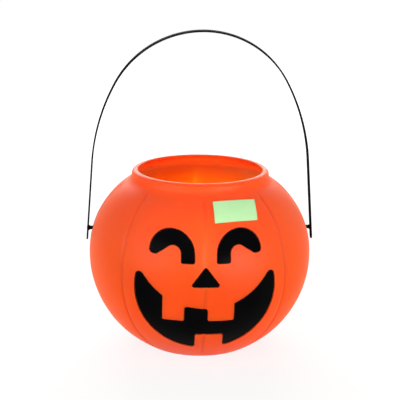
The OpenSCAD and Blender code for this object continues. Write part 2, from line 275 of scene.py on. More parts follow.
print("mouth, 1 mm further out:", np.round(np.ptp(moved_out(features["mouth"], 1.0), axis=0), 1), "mm")

# %% [markdown]
# ## Columns and rows of the wall
# The wall is a grid turned round the pail's axis. Its columns crowd together at each crease, where
# the surface bends sharply, and lie further apart between the creases. The rows run along the whole
# cross-section: from the middle of the base out over the standing ring, up the side, over the
# rolled rim and down the inside again. One closed line gives a wall with real thickness.

# %% Columns: turns from the front
near_crease = [0.25, 0.5, 0.8, 1.15, 1.6, 2.2, 3.0, 4.0, 5.2]
between = np.linspace(near_crease[-1], 45 - near_crease[-1], 25)
one_segment = [0.0, *near_crease, *between[1:-1], *[45 - a for a in reversed(near_crease)]]
turns = np.radians([45 * k + a for k in range(-4, 4) for a in one_segment])
front = np.radians(45 - near_crease[-1])
print(len(turns), "columns")

# %% Rows: the cross-section from the base's middle to the inside's middle
row_step = 2.1


def side_heights(low_rise, top_rise, arc):
    count = math.ceil((top_rise - low_rise) * arc / row_step)
    return belly_h + arc * np.sin(np.linspace(low_rise, top_rise, count + 1))


def curve_through(points, parts):
    """A smooth line through the points, each stretch in that many parts."""
    p = np.array([points[0], *points, points[-1]], float)
    made = []
    for a, b, c, d in zip(p, p[1:], p[2:], p[3:]):
        for t in np.arange(parts) / parts:
            made.append(0.5 * (2 * b + (c - a) * t + (2 * a - 5 * b + 4 * c - d) * t ** 2
                               + (3 * b - a - 3 * c + d) * t ** 3))
    return [tuple(q) for q in made] + [tuple(p[-1])]


foot_round = 1.8
foot_x = pail_r - base_arc + math.sqrt((base_arc - foot_round) ** 2 - (belly_h - foot_round) ** 2)
foot_rise = -math.asin((belly_h - foot_round) / (base_arc - foot_round))
dome_edge = foot_r - stand_ring_w
underside = [(r, push_up * (1 - (r / dome_edge) ** 2) + 0.02)
             for r in np.linspace(4, dome_edge - 1.5, 12)]
ring = [(dome_edge - 0.6, 0.16), (dome_edge + 0.4, 0.02), (dome_edge + 1.5, 0.0)]
ring += [(r, 0.0) for r in np.linspace(dome_edge + 3, foot_x, 4)]
foot = [(foot_x + foot_round * math.sin(a), foot_round * (1 - math.cos(a)))
        for a in np.linspace(0, math.pi / 2 + foot_rise, 6)[1:-1]]
neck_rise = math.asin((crease_top_h - belly_h) / shoulder_arc)
outside_h = np.concatenate([side_heights(foot_rise, 0, base_arc),
                            side_heights(0, neck_rise, shoulder_arc)[1:]])
outside = [(float(skin_radius(h)), float(h)) for h in outside_h]
rim_parts, lip_point = 3, 11
rim = curve_through([(69.5, 164.15), (68.3, 165.4), (67.35, 166.9), (66.8, 168.5), (66.65, 170.1),
                     (66.35, 171.7), (65.3, 173.2), (63.7, 174.05), (62.3, 174.3),
                     (61.2, 174.05), (60.65, 173.4), (60.65, 172.8), (61.0, 172.35), (62.2, 172.1),
                     (63.4, 171.7), (64.2, 170.7), (64.5, 168.9), (64.7, 167.1), (65.25, 165.3),
                     (66.2, 163.6), (67.5, 161.9)], rim_parts)
inner_neck_h, inner_foot_h = 160.4, 6.0
inner_top = math.asin((inner_neck_h - belly_h) / (shoulder_arc - wall))
inner_low = -math.asin((belly_h - inner_foot_h) / (base_arc - wall))
inner_h = np.concatenate([side_heights(0, inner_top, shoulder_arc - wall)[::-1],
                          side_heights(inner_low, 0, base_arc - wall)[::-1][1:]])
inside = [(float(skin_radius(h, wall)), float(h)) for h in inner_h]
floor_in = curve_through([(54.6, 3.8), (52.6, 2.75), (50.0, 2.15),
                          (46.5, 2.0), (43.5, 2.05), (40.5, 2.28)], 2)
floor_in += [(r, push_up * (1 - (r / dome_edge) ** 2) + wall) for r in np.linspace(38, 4, 10)]
section = [*underside, *ring, *foot, *outside, *rim, *inside, *floor_in]
first_out = len(underside) + len(ring) + len(foot)
first_in = first_out + len(outside) + len(rim)
print(len(section), "rows round the cross-section")

# %% Build the grid of points
rho, rows_h = np.array(section).T
points = np.stack([rho[:, None] * np.sin(turns), -rho[:, None] * np.cos(turns),
                   rows_h[:, None] + 0 * turns], -1) * MM
crease_shade_mask = np.zeros(points.shape[:2])
inside_glow_mask = np.zeros(points.shape[:2])
for i in range(first_out, first_out + len(outside)):
    h = outside_h[i - first_out]
    points[i] = on_skin(turns, h, relief(turns, h))
    # painted shade: this mask marks where the colour is drawn darker along each crease
    crease_shade_mask[i] = crease_fade(h) * np.exp(-(crease_distance(turns, h) / crease_w) ** 2)
ridge, ridge_w = 0.35, 2.2
for i in range(first_in, first_in + len(inside)):
    h = inner_h[i - first_in]
    bump = ridge * crease_fade(h) * np.exp(-(crease_distance(turns, h) / ridge_w) ** 2)
    points[i] = on_skin(turns, h, wall + bump) if h > belly_h else points[i]
lip_inside = first_out + len(outside) + lip_point * rim_parts
# painted glow: the inside mask makes the inner wall's colour lighter and yellower below the neck, fading
# out towards the lip
inside_glow_mask[lip_inside:] = 1 - smooth(rows_h[lip_inside:], 158, 171)[:, None]
print("grid", points.shape[:2])

# %% [markdown]
# ## Cutting the recesses into the grid
# A grid can't follow the outline of a tooth, so the front of the wall is meshed again. The points
# of the grid near an outline are left out and the offset outlines go in. A constrained Delaunay
# triangulation then joins them all, keeping every outline as an edge. It works on a flat sheet of
# turn and height, and each point is carried back onto the skin at its own depth afterwards.

# %% Mesh the front with its recesses
recess_out = [0.7, 0.36, 0.14, 0.03, -0.06, -0.22]
recess_down = [0.0, 0.05, 0.2, 0.5, 0.85, recess_depth]
skin_share = [1.0, 0.9, 0.65, 0.3, 0.05, 0.0]
clear_out, clear_in = 1.1, 0.7
patch_low_h, patch_top_h = 13.0, 143.0
low_row = first_out + int(np.argmin(np.abs(outside_h - patch_low_h)))
top_row = first_out + int(np.argmin(np.abs(outside_h - patch_top_h)))
in_front = np.where(np.abs(turns) < front + 1e-6)[0]
flat_scale = 100.0


def wall_depth(out, turn, h):
    """Depth of a recess's wall at that distance outside its outline."""
    down, share = (np.interp(-np.asarray(out), -np.array(recess_out), values)
                   for values in (recess_down, skin_share))
    return down + share * relief(turn, h)


def sheet_points(turn, h):
    return np.stack([np.asarray(turn) * flat_scale, np.asarray(h)], -1)


def fitted_patch():
    """Triangles of the front, as indices of the grid's points and of the new points after them."""
    columns = len(turns)
    grid = [(i, j) for i in range(low_row, top_row + 1) for j in in_front]
    edge = [i in (low_row, top_row) or j in (in_front[0], in_front[-1]) for i, j in grid]
    h = np.array([outside_h[i - first_out] for i, j in grid])
    turn = turns[[j for i, j in grid]]
    flat = np.stack([skin_radius(h) * np.sin(turn), h], -1)
    keep = np.array(edge)
    depth = relief(turn, h)
    inside_any = np.zeros(len(grid), bool)
    near_any = np.zeros(len(grid), bool)
    for line in features.values():
        d = distance_inside(flat, line)
        inside_any |= d > 0
        near_any |= (d > -clear_out) & (d < clear_in)
    depth[inside_any] = recess_depth
    keep |= ~near_any
    chosen = np.where(keep)[0]
    ids = [grid[k][0] * columns + grid[k][1] for k in chosen]
    sheet = [sheet_points(turn[chosen], h[chosen])]
    new_points, new_depth = [], []
    edges, count = [], len(chosen)
    for line in features.values():
        for out in recess_out:
            ringed = moved_out(line, out)
            t = turn_of(ringed[:, 0], ringed[:, 1])
            sheet.append(sheet_points(t, ringed[:, 1]))
            new_points.append(on_skin(t, ringed[:, 1], wall_depth(out, t, ringed[:, 1])))
            n = len(ringed)
            edges += [(count + k, count + (k + 1) % n) for k in range(n)]
            count += n
    at = {pair: n for n, pair in enumerate((grid[k] for k in chosen))}
    rows, cols = range(low_row, top_row), range(in_front[0], in_front[-1])
    edges += [(at[i, j], at[i + 1, j]) for i in rows for j in (in_front[0], in_front[-1])]
    edges += [(at[i, j], at[i, j + 1]) for j in cols for i in (low_row, top_row)]
    sheet = np.concatenate(sheet)
    verts, _, faces, origin, _, _ = delaunay_2d_cdt([Vector(p) for p in sheet], edges, [], 0, 1e-6)
    assert len(verts) == len(sheet), "the outlines cross each other"
    back = [o[0] for o in origin]
    fresh = len(points.reshape(-1, 3)) - len(chosen)
    name = [ids[k] if k < len(chosen) else fresh + k for k in back]
    for k in chosen:
        i, j = grid[k]
        points[i, j] = on_skin(turn[k], h[k], depth[k])
        if inside_any[k]:
            crease_shade_mask[i, j] = 0
    return [[name[v] for v in f] for f in faces], np.concatenate(new_points)


patch_faces, patch_points = fitted_patch()
print(len(patch_faces), "triangles in the front,", len(patch_points), "new points")

# %% Join grid and front into one closed wall
columns = len(turns)
following = np.roll(np.arange(columns), -1)
faces = []
for i in range(len(section) - 1):
    skip = set(in_front[:-1]) if low_row <= i < top_row else ()
    for j in range(columns):
        if j not in skip:
            k = following[j]
            faces.append((i * columns + j, i * columns + k,
                          (i + 1) * columns + k, (i + 1) * columns + j))
faces += patch_faces
all_points = np.concatenate([points.reshape(-1, 3), patch_points])
# the "crease" attribute carries the painted shade of the creases, the "inside" attribute the painted
# glow of the inside
masks = {"crease": np.concatenate([crease_shade_mask.ravel(), np.zeros(len(patch_points))]),
         "inside": np.concatenate([inside_glow_mask.ravel(), np.zeros(len(patch_points))])}
poles = np.array([[0, 0, push_up + 0.02], [0, 0, push_up + wall]]) * MM
below, above = len(all_points), len(all_points) + 1
all_points = np.concatenate([all_points, poles])
masks["crease"] = np.append(masks["crease"], [0, 0])
masks["inside"] = np.append(masks["inside"], [0, 1])
last = (len(section) - 1) * columns
faces += [(below, int(following[j]), j) for j in range(columns)]
faces += [(above, last + j, last + int(following[j])) for j in range(columns)]
used = np.unique(np.concatenate([np.array(f) for f in faces]))
renumber = np.full(len(all_points), -1)
renumber[used] = np.arange(len(used))
faces = [tuple(int(renumber[v]) for v in f) for f in faces]
print(len(used), "points,", len(faces), "faces")

# %% [markdown]
# ## From numbers to a Blender object
# Every piece goes through the same short function: it makes the mesh, shades it smooth, stores any
# masks as named attributes for the materials, hides the CAD node that the piece stands for and lets
# the piece ride on its body. Since both bodies of the pail are named in the frame, the strap swings
# and the face stays where it is.

# %% A helper that makes a piece
def make_piece(name, verts, faces, body, stands_for, masks=None):
    mesh = bpy.data.meshes.new(name)
    mesh.from_pydata([tuple(map(float, v)) for v in verts], [], faces)
    mesh.validate()
    mesh.shade_smooth()
    for mask, values in (masks or {}).items():
        stored = mesh.attributes.new(mask, "FLOAT", "POINT")
        stored.data.foreach_set("value", np.asarray(values, np.float32))
    piece = bpy.data.objects.new(name, mesh)
    bpy.context.scene.collection.objects.link(piece)
    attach(piece, body)
    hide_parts(stands_for)
    return piece


def open_edges(mesh):
    uses = {}
    for polygon in mesh.polygons:
        for key in polygon.edge_keys:
            uses[key] = uses.get(key, 0) + 1
    return sum(1 for n in uses.values() if n != 2)


pail = make_piece("pail", all_points[used], faces, "pail", "pail_shell",
                  {mask: values[used] for mask, values in masks.items()})
print("pail:", len(pail.data.polygons), "faces,", open_edges(pail.data), "open edges")

# %% [markdown]
# ## Paint in the recesses
# The paint was sprayed through a mask, so it covers the floor of each recess and climbs its wall up
# to the edge, where it stops in a slightly ragged line. Each patch is a closed solid: offset
# outlines follow the wall down, a loose grid of points makes the floor, and the same points a bit
# deeper the underside, which is sunk a few hundredths of a millimetre into the pail so that no gap
# shows.

# %% Build the four patches of paint
paint_out = [0.42, 0.22, 0.04, -0.1, -0.35, -0.7]
paint_film, paint_sunk = 0.05, 0.05
paint_grid, paint_grid_margin = 2.4, 1.5


def paint_patch(name):
    line = features[name]
    step = np.arange(len(line))
    ragged = 0.03 * (np.sin(step * 1.7) + np.sin(step * 0.63 + 1))
    outs = [np.full(len(line), out) for out in paint_out]
    outs[0] += ragged
    rings = [moved_out(line, out) for out in outs]
    lows, highs = line.min(0), line.max(0)
    xs, hs = (np.arange(lows[k], highs[k], paint_grid) for k in (0, 1))
    fill = np.array([(x, h) for h in hs for x in xs])
    fill = fill[distance_inside(fill, line) > paint_grid_margin]
    flat = np.concatenate([*rings, fill])
    turn = turn_of(flat[:, 0], flat[:, 1])
    behind = wall_depth(np.concatenate([*outs, np.full(len(fill), -1.0)]), turn, flat[:, 1])
    level = paint_top + 0.02 * np.sin(flat[:, 0] / 7) * np.cos(flat[:, 1] / 9)
    n = len(line)
    edges = [(r * n + k, r * n + (k + 1) % n) for r in range(len(rings)) for k in range(n)]
    verts, _, made, origin, _, _ = delaunay_2d_cdt([Vector(p) for p in flat], edges, [], 1, 1e-6)
    assert len(verts) == len(flat), "the rings of a patch cross each other"
    top = [[origin[v][0] for v in f] for f in made]
    upper = on_skin(turn, flat[:, 1], np.minimum(behind - paint_film, level))
    lower = on_skin(turn, flat[:, 1], behind + paint_sunk)
    count = len(flat)
    under = [[v + count for v in reversed(f)] for f in top]
    side = [(k, k + count, (k + 1) % n + count, (k + 1) % n) for k in range(n)]
    return np.concatenate([upper, lower]), [*top, *under, *side]


paints = []
for name in features:
    verts, made = paint_patch(name)
    patch = make_piece(f"{name}_of_paint", verts, made, "pail", name + "_paint")
    paints.append(patch)
    print(patch.name, len(made), "faces,", open_edges(patch.data), "open edges")

# %% [markdown]
# ## The blank label
# A paper sticker takes the curve of the shoulder. It is laid out flat first, as a sheet with small
# round corners that leans the way the real one does. Its long edges bow down by just under a
# millimetre, which makes up for the shoulder's curve and lets them look straight from the front.
# Each point is then pushed along the label's own square direction until it lies on the skin, which
# is how a hand presses it down.

# %% Lay the label on the shoulder
label_w, label_tall, label_t = 42.3, 22.7, 0.25
label_turn, label_h = math.radians(20.5), 153.1
label_tilt, label_skew, label_bow = math.radians(-2), 3.5, 0.9
label_corner = 0.6
label_cells = (30, 17)


def label_sheet():
    """Flat places on the label, with a finer grid at its corners that is drawn in to a small round."""
    core = np.array([label_w / 2 - label_corner, label_tall / 2 - label_corner])
    edge = label_corner * np.array([0.5, 1.0])
    across, up = (np.concatenate([-c - edge[::-1], np.linspace(-c, c, n - 3), c + edge])
                  for c, n in zip(core, label_cells))
    a, b = np.meshgrid(across, up)
    over_a, over_b = np.maximum(np.abs(a) - core[0], 0), np.maximum(np.abs(b) - core[1], 0)
    share = np.maximum(over_a, over_b) / np.maximum(np.hypot(over_a, over_b), 1e-9)
    a = np.where(over_a * over_b > 0, np.sign(a) * (core[0] + over_a * share), a)
    b = np.where(over_a * over_b > 0, np.sign(b) * (core[1] + over_b * share), b)
    return a + label_skew * b / label_tall, b - label_bow * (1 - (2 * a / label_w) ** 2)


def pressed_on(a, b, proud):
    rise = math.asin((label_h - belly_h) / shoulder_arc)
    c, s = math.cos(label_tilt), math.sin(label_tilt)
    a, b = a * c - b * s, a * s + b * c
    middle = np.array([0, -float(skin_radius(label_h)), label_h])
    right, up = np.array([1, 0, 0]), np.array([0, math.sin(rise), math.cos(rise)])
    out = np.array([0, -math.cos(rise), math.sin(rise)])
    place = middle + a[..., None] * right + b[..., None] * up
    turned = Matrix.Rotation(label_turn, 3, "Z")
    place, out = place @ np.array(turned).T, np.array(turned) @ out
    for _ in range(12):
        turn = np.arctan2(place[..., 0], -place[..., 1])
        over = -depth_of(place.reshape(-1, 3)).reshape(turn.shape) + relief(turn, place[..., 2])
        place = place + (proud - over)[..., None] * out
    return place * MM


label_a, label_b = label_sheet()
label_top = pressed_on(label_a, label_b, label_t)
label_low = pressed_on(label_a, label_b, 0.0)
rows, cols = label_a.shape
quads = [(i * cols + j, i * cols + j + 1, (i + 1) * cols + j + 1, (i + 1) * cols + j)
         for i in range(rows - 1) for j in range(cols - 1)]
count = rows * cols
border = ([j for j in range(cols)] + [i * cols + cols - 1 for i in range(1, rows)]
          + [(rows - 1) * cols + j for j in range(cols - 2, -1, -1)]
          + [i * cols for i in range(rows - 2, 0, -1)])
quads += [tuple(v + count for v in reversed(q)) for q in quads]
quads += [(a, a + count, b + count, b) for a, b in zip(border, border[1:] + border[:1])]
# painted shade: the label's border points get a darker colour along the paper's edge
label_edge_shade_mask = np.zeros(2 * count)
label_edge_shade_mask[[*border, *[v + count for v in border]]] = 1
label = make_piece("label", np.concatenate([label_top.reshape(-1, 3), label_low.reshape(-1, 3)]), quads,
                   "pail", "blank_label", {"edge": label_edge_shade_mask})
print("label:", open_edges(label.data), "open edges")

# %% [markdown]
# ## The strap
# The strap is a thin band of black plastic, bent over the pail by its own springiness: straight at
# the pegs, then a wide bend, then a tighter round crown. Its middle line is made of those three
# stretches, and a small rounded rectangle is carried along it. Near both ends the rectangle gets
# narrower along a circle, which gives the real strap's rounded tips.

# %% The strap's middle line
pivot_h, handle_rise, crown_shift = 115.0, 193.1, 2.0
strap_w, strap_t, strap_tail, strap_end_round = 9.0, 1.6, 11.5, 3.5
leg_lean, crown_lean, side_bend = math.radians(4), math.radians(28.5), 190.0
strap_gap, tip_angle = 3.4, 0.12
pivot_x = float(skin_radius(pivot_h)) + strap_gap + strap_t / 2


def half_line(side):
    """Points from the strap's end to the crown's top, with the direction out of the strap."""
    sin_l, cos_l, sin_c, cos_c = (f(a) for a in (leg_lean, crown_lean) for f in (math.sin, math.cos))
    across = pivot_x - side * crown_shift - side_bend * (cos_l - cos_c)
    up = handle_rise - side_bend * (sin_c - sin_l)
    share = sin_l * (1 - sin_c) - cos_c * cos_l
    leg = (across * (1 - sin_c) - up * cos_c) / share
    crown_r = (up * sin_l - across * cos_l) / share
    out, along = np.array([cos_l, sin_l]), np.array([-sin_l, cos_l])
    pivot = np.array([pivot_x, pivot_h])
    made = [(pivot + along * s, out) for s in
            [*(-strap_tail + strap_end_round * (1 - np.cos(np.linspace(tip_angle, math.pi / 2, 9)))),
             *np.linspace(-strap_tail + strap_end_round, leg, 12)[1:-1]]]
    bend = pivot + along * leg - side_bend * out
    crown = np.array([side * crown_shift, pivot_h + handle_rise - crown_r])
    for centre, r, start, end in ((bend, side_bend, leg_lean, crown_lean),
                                  (crown, crown_r, crown_lean, math.pi / 2)):
        for a in np.linspace(start, end, math.ceil((end - start) * r / 3)):
            spoke = np.array([math.cos(a), math.sin(a)])
            made.append((centre + r * spoke, spoke))
    return made


def steps_along(line):
    return np.array([np.hypot(*(q[0] - p[0])) for p, q in zip(line, line[1:])])


right_half = half_line(1)
left_half = [(p * [-1, 1], d * [-1, 1]) for p, d in half_line(-1)]
middle_line = right_half + left_half[-2::-1]
lengths = steps_along(middle_line)
middle_line = [middle_line[0], *[q for q, d in zip(middle_line[1:], lengths) if d > 0.01]]
print("strap length", round(float(lengths.sum()), 1), "mm")

# %% Carry the strap's section along the line
strap_edge_round = 0.45


def rounded_rectangle(w, t, r, parts=3):
    made = []
    for cx, cy, start in ((w / 2 - r, t / 2 - r, 0), (-w / 2 + r, t / 2 - r, 90),
                          (-w / 2 + r, -t / 2 + r, 180), (w / 2 - r, -t / 2 + r, 270)):
        for k in range(parts + 1):
            a = math.radians(start + 90 * k / parts)
            made.append((cx + r * math.cos(a), cy + r * math.sin(a)))
    return made


travel = np.concatenate([[0], np.cumsum(steps_along(middle_line))])
tip = strap_end_round * (1 - math.cos(tip_angle))
verts, made = [], []
for (p, out), s in zip(middle_line, travel):
    from_end = min(s, travel[-1] - s) + tip
    short = max(strap_end_round - from_end, 0)
    half = strap_w / 2 - strap_end_round + math.sqrt(strap_end_round ** 2 - short ** 2)
    for w, t in rounded_rectangle(2 * half, strap_t, strap_edge_round):
        spot = p + out * t
        verts.append((spot[0], w, spot[1]))
around = len(rounded_rectangle(strap_w, strap_t, strap_edge_round))
for i in range(len(middle_line) - 1):
    for k in range(around):
        n = (k + 1) % around
        made.append((i * around + k, (i + 1) * around + k, (i + 1) * around + n, i * around + n))
made.append(tuple(range(around)))
made.append(tuple((len(middle_line) - 1) * around + k for k in reversed(range(around))))
strap = make_piece("strap", np.array(verts) * MM, made, "handle", "strap_handle")
print("strap:", len(made), "faces,", open_edges(strap.data), "open edges")

# %% [markdown]
# ## The two snap pegs
# Each peg is turned like a chess piece: a blunt snap head inside the pail, a shank through the
# wall, and a flare that widens to the strap. Its tail comes through the strap as a low rounded
# button. A list of distances and radii, turned round the hinge line, gives the whole peg.

# %% Turn the pegs
peg_r, snap_r, tip_r, snap_len, snap_gap = 1.8, 2.4, 1.4, 3.0, 0.35
collar_r, button_r, button_out = 3.0, 1.9, 0.22
head_end = float(skin_radius(pivot_h + snap_r, wall)) - snap_gap
flare_end, flare_start = pivot_x - strap_t / 2 + 0.05, pivot_x - strap_t / 2 - 2.4
strap_out = pivot_x + strap_t / 2
peg_sides = 40


def flare(t):
    return peg_r + (collar_r - peg_r) * t ** 2.4


peg_line = [(head_end - snap_len, tip_r - 0.4), (head_end - snap_len + 0.12, tip_r - 0.12),
            (head_end - snap_len + 0.4, tip_r),
            (head_end - 1.15, snap_r - 0.12), (head_end - 0.8, snap_r),
            (head_end - 0.3, snap_r), (head_end - 0.08, snap_r - 0.1), (head_end, snap_r - 0.3),
            (head_end + 0.02, peg_r), (flare_start, peg_r)]
peg_line += [(flare_start + (flare_end - flare_start) * t, flare(t)) for t in np.linspace(0.15, 0.9, 7)]
peg_line += [(flare_end - 0.1, collar_r - 0.04), (flare_end, collar_r - 0.12)]
peg_line += [(strap_out - 0.2, button_r)]
peg_line += [(strap_out + button_out * math.sin(a), button_r * math.cos(a) ** 0.5)
             for a in np.linspace(0, 1.35, 6)]


def turned_peg(side):
    angles = np.linspace(0, 2 * math.pi, peg_sides, endpoint=False)
    verts = [(x, r * math.cos(a), pivot_h + r * math.sin(a)) for x, r in peg_line for a in angles]
    made = []
    for i in range(len(peg_line) - 1):
        for k in range(peg_sides):
            n = (k + 1) % peg_sides
            made.append((i * peg_sides + k, i * peg_sides + n,
                         (i + 1) * peg_sides + n, (i + 1) * peg_sides + k))
    made.append(tuple(reversed(range(peg_sides))))
    made.append(tuple((len(peg_line) - 1) * peg_sides + k for k in range(peg_sides)))
    verts = np.array(verts) * MM
    if side < 0:
        verts[:, 0] *= -1
        made = [tuple(reversed(f)) for f in made]
    return verts, made


pegs = []
for side, name in ((-1, "left"), (1, "right")):
    verts, made = turned_peg(side)
    pegs.append(make_piece(f"{name}_peg", verts, made, "handle", f"{name}_snap_peg"))
    print(pegs[-1].name, open_edges(pegs[-1].data), "open edges")

# %% [markdown]
# ## Shared effects for the materials
# Three effects turn up in more than one material: a fine grain left by the mould, rub marks from
# handling, and a slow drift of colour. Each becomes a node group with named inputs, built once. A
# material places the group and gives it its own values, so a change to an effect reaches them all.

# %% Helpers for nodes and groups
def add(tree, kind, **settings):
    node = tree.nodes.new(kind)
    for name, value in settings.items():
        if hasattr(node, name):
            setattr(node, name, value)
        else:
            node.inputs[name.replace("_", " ")].default_value = value
    return node


def new_group(name, inputs, outputs):
    tree = bpy.data.node_groups.new(name, "ShaderNodeTree")
    for label_, kind, value in inputs:
        socket = tree.interface.new_socket(label_, in_out="INPUT", socket_type=kind)
        socket.default_value = value
    for label_, kind in outputs:
        tree.interface.new_socket(label_, in_out="OUTPUT", socket_type=kind)
    return tree, tree.nodes.new("NodeGroupInput"), tree.nodes.new("NodeGroupOutput")


def placed(tree, group, **values):
    node = tree.nodes.new("ShaderNodeGroup")
    node.node_tree = group
    for name, value in values.items():
        node.inputs[name.replace("_", " ")].default_value = value
    return node


print("helpers ready")

# %% Mould grain: fine height with a slower swell
grain, g_in, g_out = new_group("mould grain", [("Grains per Metre", "NodeSocketFloat", 1500.0),
                                               ("Swell Share", "NodeSocketFloat", 0.4)],
                               [("Height", "NodeSocketFloat")])
where = add(grain, "ShaderNodeTexCoord")
fine = add(grain, "ShaderNodeTexNoise", Detail=3.0, Roughness=0.6)
slow_scale = add(grain, "ShaderNodeMath", operation="MULTIPLY")
slow_scale.inputs[1].default_value = 0.06
slow = add(grain, "ShaderNodeTexNoise", Detail=1.0)
mixed = add(grain, "ShaderNodeMix", data_type="FLOAT")
grain.links.new(where.outputs["Object"], fine.inputs["Vector"])
grain.links.new(where.outputs["Object"], slow.inputs["Vector"])
grain.links.new(g_in.outputs["Grains per Metre"], fine.inputs["Scale"])
grain.links.new(g_in.outputs["Grains per Metre"], slow_scale.inputs[0])
grain.links.new(slow_scale.outputs[0], slow.inputs["Scale"])
grain.links.new(g_in.outputs["Swell Share"], mixed.inputs[0])
grain.links.new(fine.outputs[0], mixed.inputs[2])
grain.links.new(slow.outputs[0], mixed.inputs[3])
grain.links.new(mixed.outputs[0], g_out.inputs["Height"])
print("group:", grain.name)

# %% Rub marks: roughness that changes in thin slanting strokes and soft patches
rubs, g_in, g_out = new_group("rub marks", [("Plain Roughness", "NodeSocketFloat", 0.3),
                                            ("Change", "NodeSocketFloat", 0.12),
                                            ("Strokes per Metre", "NodeSocketFloat", 60.0)],
                              [("Roughness", "NodeSocketFloat")])
where = add(rubs, "ShaderNodeTexCoord")
slant = add(rubs, "ShaderNodeMapping")
slant.inputs["Rotation"].default_value = (0.5, 0.3, 0.9)
slant.inputs["Scale"].default_value = (1.0, 9.0, 9.0)
strokes = add(rubs, "ShaderNodeTexNoise", Detail=4.0, Roughness=0.65)
patches = add(rubs, "ShaderNodeTexNoise", Scale=22.0, Detail=2.0)
stroke_mask = add(rubs, "ShaderNodeMapRange")
stroke_mask.inputs["From Min"].default_value, stroke_mask.inputs["From Max"].default_value = 0.55, 0.75
both = add(rubs, "ShaderNodeMath", operation="MULTIPLY_ADD")
scaled = add(rubs, "ShaderNodeMath", operation="MULTIPLY_ADD")
rubs.links.new(where.outputs["Object"], slant.inputs["Vector"])
rubs.links.new(slant.outputs[0], strokes.inputs["Vector"])
rubs.links.new(g_in.outputs["Strokes per Metre"], strokes.inputs["Scale"])
rubs.links.new(where.outputs["Object"], patches.inputs["Vector"])
rubs.links.new(strokes.outputs[0], stroke_mask.inputs["Value"])
rubs.links.new(stroke_mask.outputs[0], both.inputs[0])
both.inputs[1].default_value = 0.7
rubs.links.new(patches.outputs[0], both.inputs[2])
rubs.links.new(both.outputs[0], scaled.inputs[0])
rubs.links.new(g_in.outputs["Change"], scaled.inputs[1])
rubs.links.new(g_in.outputs["Plain Roughness"], scaled.inputs[2])
rubs.links.new(scaled.outputs[0], g_out.inputs["Roughness"])
print("group:", rubs.name)

# %% Colour drift: two colours that give way to each other slowly
drift, g_in, g_out = new_group("colour drift", [("Colour", "NodeSocketColor", (0.5, 0.5, 0.5, 1)),
                                                ("Other Colour", "NodeSocketColor", (0.5, 0.5, 0.5, 1)),
                                                ("Patches per Metre", "NodeSocketFloat", 12.0)],
                               [("Colour", "NodeSocketColor")])
where = add(drift, "ShaderNodeTexCoord")
cloud = add(drift, "ShaderNodeTexNoise", Detail=2.0, Roughness=0.45)
soft = add(drift, "ShaderNodeMapRange")
soft.inputs["From Min"].default_value, soft.inputs["From Max"].default_value = 0.35, 0.65
blend_colours = add(drift, "ShaderNodeMix", data_type="RGBA")
drift.links.new(where.outputs["Object"], cloud.inputs["Vector"])
drift.links.new(g_in.outputs["Patches per Metre"], cloud.inputs["Scale"])
drift.links.new(cloud.outputs[0], soft.inputs["Value"])
drift.links.new(soft.outputs[0], blend_colours.inputs["Factor"])
drift.links.new(g_in.outputs["Colour"], blend_colours.inputs[6])
drift.links.new(g_in.outputs["Other Colour"], blend_colours.inputs[7])
drift.links.new(blend_colours.outputs[2], g_out.inputs["Colour"])
print("group:", drift.name)


# %% A helper that starts a material with its shader, grain and rub marks
def new_material(name, grain_values, bump_mm, rub_values, **shader_values):
    material = bpy.data.materials.new(name)
    material.use_nodes = True
    tree = material.node_tree
    shader = tree.nodes["Principled BSDF"]
    for label_, value in shader_values.items():
        shader.inputs[label_.replace("_", " ")].default_value = value
    height = placed(tree, grain, **grain_values)
    bump = add(tree, "ShaderNodeBump", Distance=bump_mm * MM)
    tree.links.new(height.outputs["Height"], bump.inputs["Height"])
    rough = placed(tree, rubs, **rub_values)
    for layer in ("", "Coat "):
        tree.links.new(bump.outputs[0], shader.inputs[layer + "Normal"])
        tree.links.new(rough.outputs["Roughness"], shader.inputs[layer + "Roughness"])
    return material, tree, shader


def masked_colour(tree, colour_from, mask, strength, colour):
    """The colour, mixed towards another one where the named mask is high."""
    attribute = add(tree, "ShaderNodeAttribute", attribute_name=mask)
    amount = add(tree, "ShaderNodeMath", operation="MULTIPLY")
    amount.inputs[1].default_value = strength
    mix = add(tree, "ShaderNodeMix", data_type="RGBA")
    mix.inputs[7].default_value = (*colour, 1)
    tree.links.new(attribute.outputs["Fac"], amount.inputs[0])
    tree.links.new(amount.outputs[0], mix.inputs["Factor"])
    tree.links.new(colour_from, mix.inputs[6])
    return mix.outputs[2]


print("material helper ready")

# %% [markdown]
# ## Orange polyethylene
# The pail's plastic is a little see-through: light enters, scatters for some millimetres and comes
# out redder, on the lit side and through the wall. Subsurface scattering does this with a wide red
# radius and a narrow blue one. The gloss is a soft clear layer over it, and a faint sheen gives the
# pale fringe that the edge of such a pail shows against a white background. Two masks stored with
# the mesh paint light and shade into the colour: a painted shade makes the creases darker, and a
# painted glow makes the inside lighter and more yellow, standing in for the light that bounces to
# and fro there.

# %% Make the orange plastic
orange, tree, shader = new_material(
    "orange polyethylene", {"Grains_per_Metre": 900.0, "Swell_Share": 0.6}, 0.05,
    {"Plain_Roughness": 0.40, "Change": 0.12, "Strokes_per_Metre": 40.0},
    Subsurface_Weight=1.0, Subsurface_Scale=0.007, Subsurface_Radius=(2.0, 1.0, 0.5),
    Specular_IOR_Level=0.0, Coat_Weight=0.35, Coat_IOR=1.5,
    Sheen_Weight=0.10, Sheen_Roughness=0.4)
tone = placed(tree, drift, Colour=(1.0, 0.068, 0.005, 1), Other_Colour=(0.995, 0.058, 0.003, 1),
              Patches_per_Metre=9.0)
# painted shade: the creases get a darker colour
colour = masked_colour(tree, tone.outputs["Colour"], "crease", 0.5, (0.86, 0.036, 0.004))
# painted glow: the inside gets a lighter, yellower colour in place of light that bounces there
colour = masked_colour(tree, colour, "inside", 1.0, (1.0, 0.28, 0.04))
tree.links.new(colour, shader.inputs["Base Color"])
pail.data.materials.append(orange)
print("material:", orange.name)
